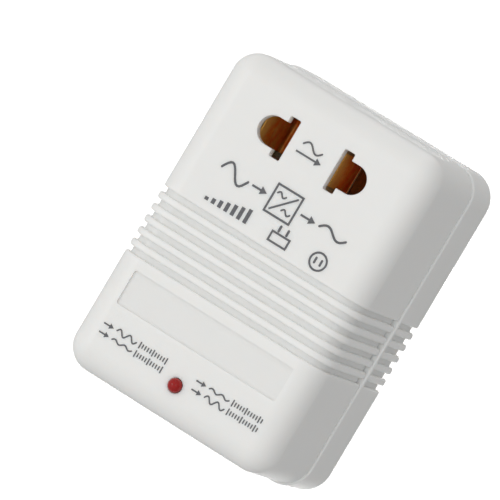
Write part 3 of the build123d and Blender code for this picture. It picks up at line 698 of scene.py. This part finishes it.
# %% Pad-print ink
SPECKLE = 0.5
ink, tree, shader = new_finish("grey_pad_print_ink", "#5C5D60", 0.55, ior=1.5)
spot = in_millimetres(tree)
speckle = add_node(tree, "ShaderNodeTexNoise", {"Vector": spot, "Scale": 1 / SPECKLE, "Detail": 3.0})
mottle = add_node(
    tree,
    "ShaderNodeMix",
    {"Factor": speckle.outputs["Fac"], COLOUR_A: colour("#505155"), COLOUR_B: colour("#6A6B6E")},
    data_type="RGBA",
)
tree.links.new(mottle.outputs[MIXED], shader.inputs["Base Color"])
print("ink with specks of", SPECKLE, "mm")

# %% A ribbon of ink
CAP_STEPS = 6
SHARPEST_MITRE = 0.5


def ink_points(form, points):
    """Corners of the ink film at (x, z) points given in millimetres."""
    return [form.verts.new((x * MM, 0, z * MM)) for x, z in points]


def patch(form, points):
    """Lay a filled patch inside (x, z) points."""
    form.faces.new(ink_points(form, points))


def ribbon(form, points, width, closed=False):
    """Lay a flat ribbon along (x, z) points, with round ends unless it is closed."""
    path = [Vector(point) for point in points]
    last = len(path) - 1
    rails = []
    for i, here in enumerate(path):
        into = here - path[i - 1] if closed or i > 0 else path[1] - here
        out = path[(i + 1) % len(path)] - here if closed or i < last else here - path[i - 1]
        across = (into.normalized() + out.normalized()).normalized().orthogonal()
        reach = width / 2 / max(SHARPEST_MITRE, across.dot(out.normalized().orthogonal()))
        rails.append(ink_points(form, [here + across * reach, here - across * reach]))
    for i in range(last + closed):
        (a, b), (c, d) = rails[i], rails[(i + 1) % len(path)]
        form.faces.new((a, b, d, c))
    if closed:
        return
    angles = [math.pi * k / CAP_STEPS for k in range(1, CAP_STEPS)]
    for (a, b), here, beyond in ((rails[0], path[0], path[1]), (rails[last], path[last], path[last - 1])):
        back = (here - beyond).normalized() * width / 2
        side = Vector((a.co.x, a.co.z)) / MM - here
        arc = [here + side * math.cos(angle) + back * math.sin(angle) for angle in angles]
        form.faces.new([a, *ink_points(form, arc), b])


# %% From flat ink to a film
INK_THICKNESS = 0.015 * MM


def printed(name, form):
    """Turn flat ink into a thin film on the front face."""
    bmesh.ops.recalc_face_normals(form, faces=form.faces)
    for face in form.faces:
        if face.normal.y > 0:
            face.normal_flip()
    film = bmesh.ops.extrude_face_region(form, geom=form.faces[:])["geom"]
    lifted = [part for part in film if isinstance(part, bmesh.types.BMVert)]
    bmesh.ops.translate(form, verts=lifted, vec=(0, -INK_THICKNESS, 0))
    bmesh.ops.translate(form, verts=form.verts[:], vec=(0, face_y, 0))
    bmesh.ops.recalc_face_normals(form, faces=form.faces)
    mesh = bpy.data.meshes.new(name)
    form.to_mesh(mesh)
    form.free()
    piece = bpy.data.objects.new(name, mesh)
    scene.collection.objects.link(piece)
    mesh.materials.append(ink)
    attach(piece, "case")
    print(name, len(mesh.polygons), "faces")


# %% Signs
WAVE_STEPS = 16
RING_STEPS = 32
ARROW_SPREAD = 0.6


def wave(x, z, length, rise, periods=1):
    """Points of an alternating-current wave that starts at x and is centred on z."""
    total = WAVE_STEPS * periods
    heights = [rise * math.sin(math.tau * periods * k / total) for k in range(total + 1)]
    return [(x + length * k / total, z + height) for k, height in enumerate(heights)]


def ring(x, z, radius):
    """Points of a closed circle."""
    angles = [math.tau * k / RING_STEPS for k in range(RING_STEPS)]
    return [(x + radius * math.cos(angle), z + radius * math.sin(angle)) for angle in angles]


def arrow(form, x, z, length, width, head):
    """Arrow that starts at x and points right."""
    neck = x + length - head
    upper = [(x, z + width / 2), (neck, z + width / 2), (neck, z + head * ARROW_SPREAD)]
    lower = [(px, 2 * z - pz) for px, pz in reversed(upper)]
    patch(form, [*upper, (x + length, z), *lower])


def frame_sign(form, left, right, low, high, width):
    """Outline of a rectangle with mitred corners."""
    ribbon(form, [(left, low), (right, low), (right, high), (left, high)], width, closed=True)


def upright(form, x, low, high, width):
    """Short upright stroke."""
    ribbon(form, [(x, low), (x, high)], width)


# %% [markdown]
# ## Where the signs stand
#
# Places are in millimetres in the model's X and Z. The signs keep the places and the weight of
# ink that such a front has: one between the openings, one row under them with a smaller row
# below it, and two rows on each side of the pilot lamp.

# %% Mark between the two openings
OUTPUT_LINE = 0.36
form = bmesh.new()
ribbon(form, wave(-2.6, 5.9, length=4.4, rise=0.75), OUTPUT_LINE)
arrow(form, -3.2, 4.0, length=5.8, width=OUTPUT_LINE, head=1.3)
printed("printed_output_sign", form)

# %% Converter sign under the openings
ROW_Z = -6.0
BOLD_LINE = 0.46
SIGN_LINE = 0.42
SLANT_LINE = 0.38
FINE_LINE = 0.34
SQUARE_LEFT = -2.7
SQUARE_RIGHT = 3.1
SQUARE_HALF = 2.9
form = bmesh.new()
ribbon(form, wave(-14.4, ROW_Z, length=6.2, rise=1.7), BOLD_LINE)
arrow(form, -7.2, ROW_Z, length=3.4, width=SIGN_LINE, head=1.4)
frame_sign(form, SQUARE_LEFT, SQUARE_RIGHT, ROW_Z - SQUARE_HALF, ROW_Z + SQUARE_HALF, SIGN_LINE)
ribbon(form, [(-1.9, ROW_Z - 2.1), (2.3, ROW_Z + 2.1)], SLANT_LINE)
ribbon(form, wave(-2.0, ROW_Z + 1.3, length=2.0, rise=0.42), FINE_LINE)
ribbon(form, wave(0.4, ROW_Z - 1.3, length=2.0, rise=0.42), FINE_LINE)
arrow(form, 4.2, ROW_Z, length=3.4, width=SIGN_LINE, head=1.4)
ribbon(form, wave(8.6, ROW_Z, length=6.2, rise=0.85), BOLD_LINE)
printed("printed_converter_sign", form)

# %% Load scale, plug and socket
BAR_COUNT = 7
BAR_LEFT = -14.2
BAR_PITCH = 1.5
BAR_WIDTH = 0.8
BAR_FOOT = -13.1
BAR_TOP = -12.4
BAR_GROWTH = 0.38
PLUG_X = 3.0
PLUG_LINE = 0.4
PIN_LINE = 0.5
SOCKET_X = 12.0
SOCKET_Z = -11.9
SLOT_LINE = 0.45
form = bmesh.new()
for step in range(BAR_COUNT):
    left = BAR_LEFT + step * BAR_PITCH
    right = left + BAR_WIDTH
    top = BAR_TOP + step * BAR_GROWTH
    patch(form, [(left, BAR_FOOT), (right, BAR_FOOT), (right, top), (left, top)])
frame_sign(form, PLUG_X - 2.0, PLUG_X + 2.0, -13.3, -11.4, PLUG_LINE)
for side in (-1, 1):
    upright(form, PLUG_X + side * 0.9, -10.9, -9.9, PIN_LINE)
ribbon(form, ring(SOCKET_X, SOCKET_Z, 1.75), PLUG_LINE, closed=True)
for side in (-1, 1):
    upright(form, SOCKET_X + side * 0.65, SOCKET_Z - 0.5, SOCKET_Z + 0.5, SLOT_LINE)
printed("printed_load_signs", form)

# %% Rows beside the pilot lamp
ROW_LINE = 0.3
TICK_LINE = 0.27
TICK_START = 8.6
TICK_PITCH = 0.62
TICKS_PER_LONG = 5
LONG_TICK = 0.6
SHORT_TICK = 0.34
RATING_ROWS_Z = (-43.4, -45.3)
TALL_WAVE = 0.55
LOW_WAVE = 0.28


def rating_row(form, x, z, rise, tick_count):
    """Arrow, wave and a scale of fine strokes, in one row about 15 mm long."""
    arrow(form, x, z, length=2.3, width=ROW_LINE, head=0.95)
    ribbon(form, wave(x + 3.1, z, length=4.6, rise=rise, periods=2), ROW_LINE)
    for tick in range(tick_count):
        reach = LONG_TICK if tick % TICKS_PER_LONG == 0 else SHORT_TICK
        upright(form, x + TICK_START + tick * TICK_PITCH, z - reach, z + reach, TICK_LINE)


form = bmesh.new()
for x, tick_count, rises in ((-18.8, 11, (TALL_WAVE, LOW_WAVE)), (3.2, 12, (LOW_WAVE, TALL_WAVE))):
    for z, rise in zip(RATING_ROWS_Z, rises):
        rating_row(form, x, z, rise, tick_count)
printed("printed_rating_rows", form)

# %% [markdown]
# ## Pilot lamp
#
# A three-millimetre lamp is one casting of red epoxy with a little haze, so the light spreads in
# it and the dome stays glossy. A clear material would need the real lamp's inner parts, so the
# haze is a little scattering under a glossy skin. Its reflection is kept weak, since a glossier
# lamp looked worse beside the photograph.

# %% Red epoxy
HAZE = 0.6
lens_look, tree, shader = new_finish("diffused_red_epoxy", "#A00D09", 0.08, ior=1.55)
shader.inputs["Specular IOR Level"].default_value = 0.3
shader.inputs["Subsurface Weight"].default_value = 0.2
shader.inputs["Subsurface Radius"].default_value = (1.0, 0.08, 0.05)
shader.inputs["Subsurface Scale"].default_value = 1.2 * MM
spot = in_millimetres(tree)
haze = add_node(tree, "ShaderNodeTexNoise", {"Vector": spot, "Scale": 1 / HAZE, "Detail": 2.0})
depth = add_node(
    tree,
    "ShaderNodeMix",
    {"Factor": haze.outputs["Fac"], COLOUR_A: colour("#8E0A07"), COLOUR_B: colour("#A81210")},
    data_type="RGBA",
)
tree.links.new(depth.outputs[MIXED], shader.inputs["Base Color"])
wear(lens_look, "pilot_lamp")
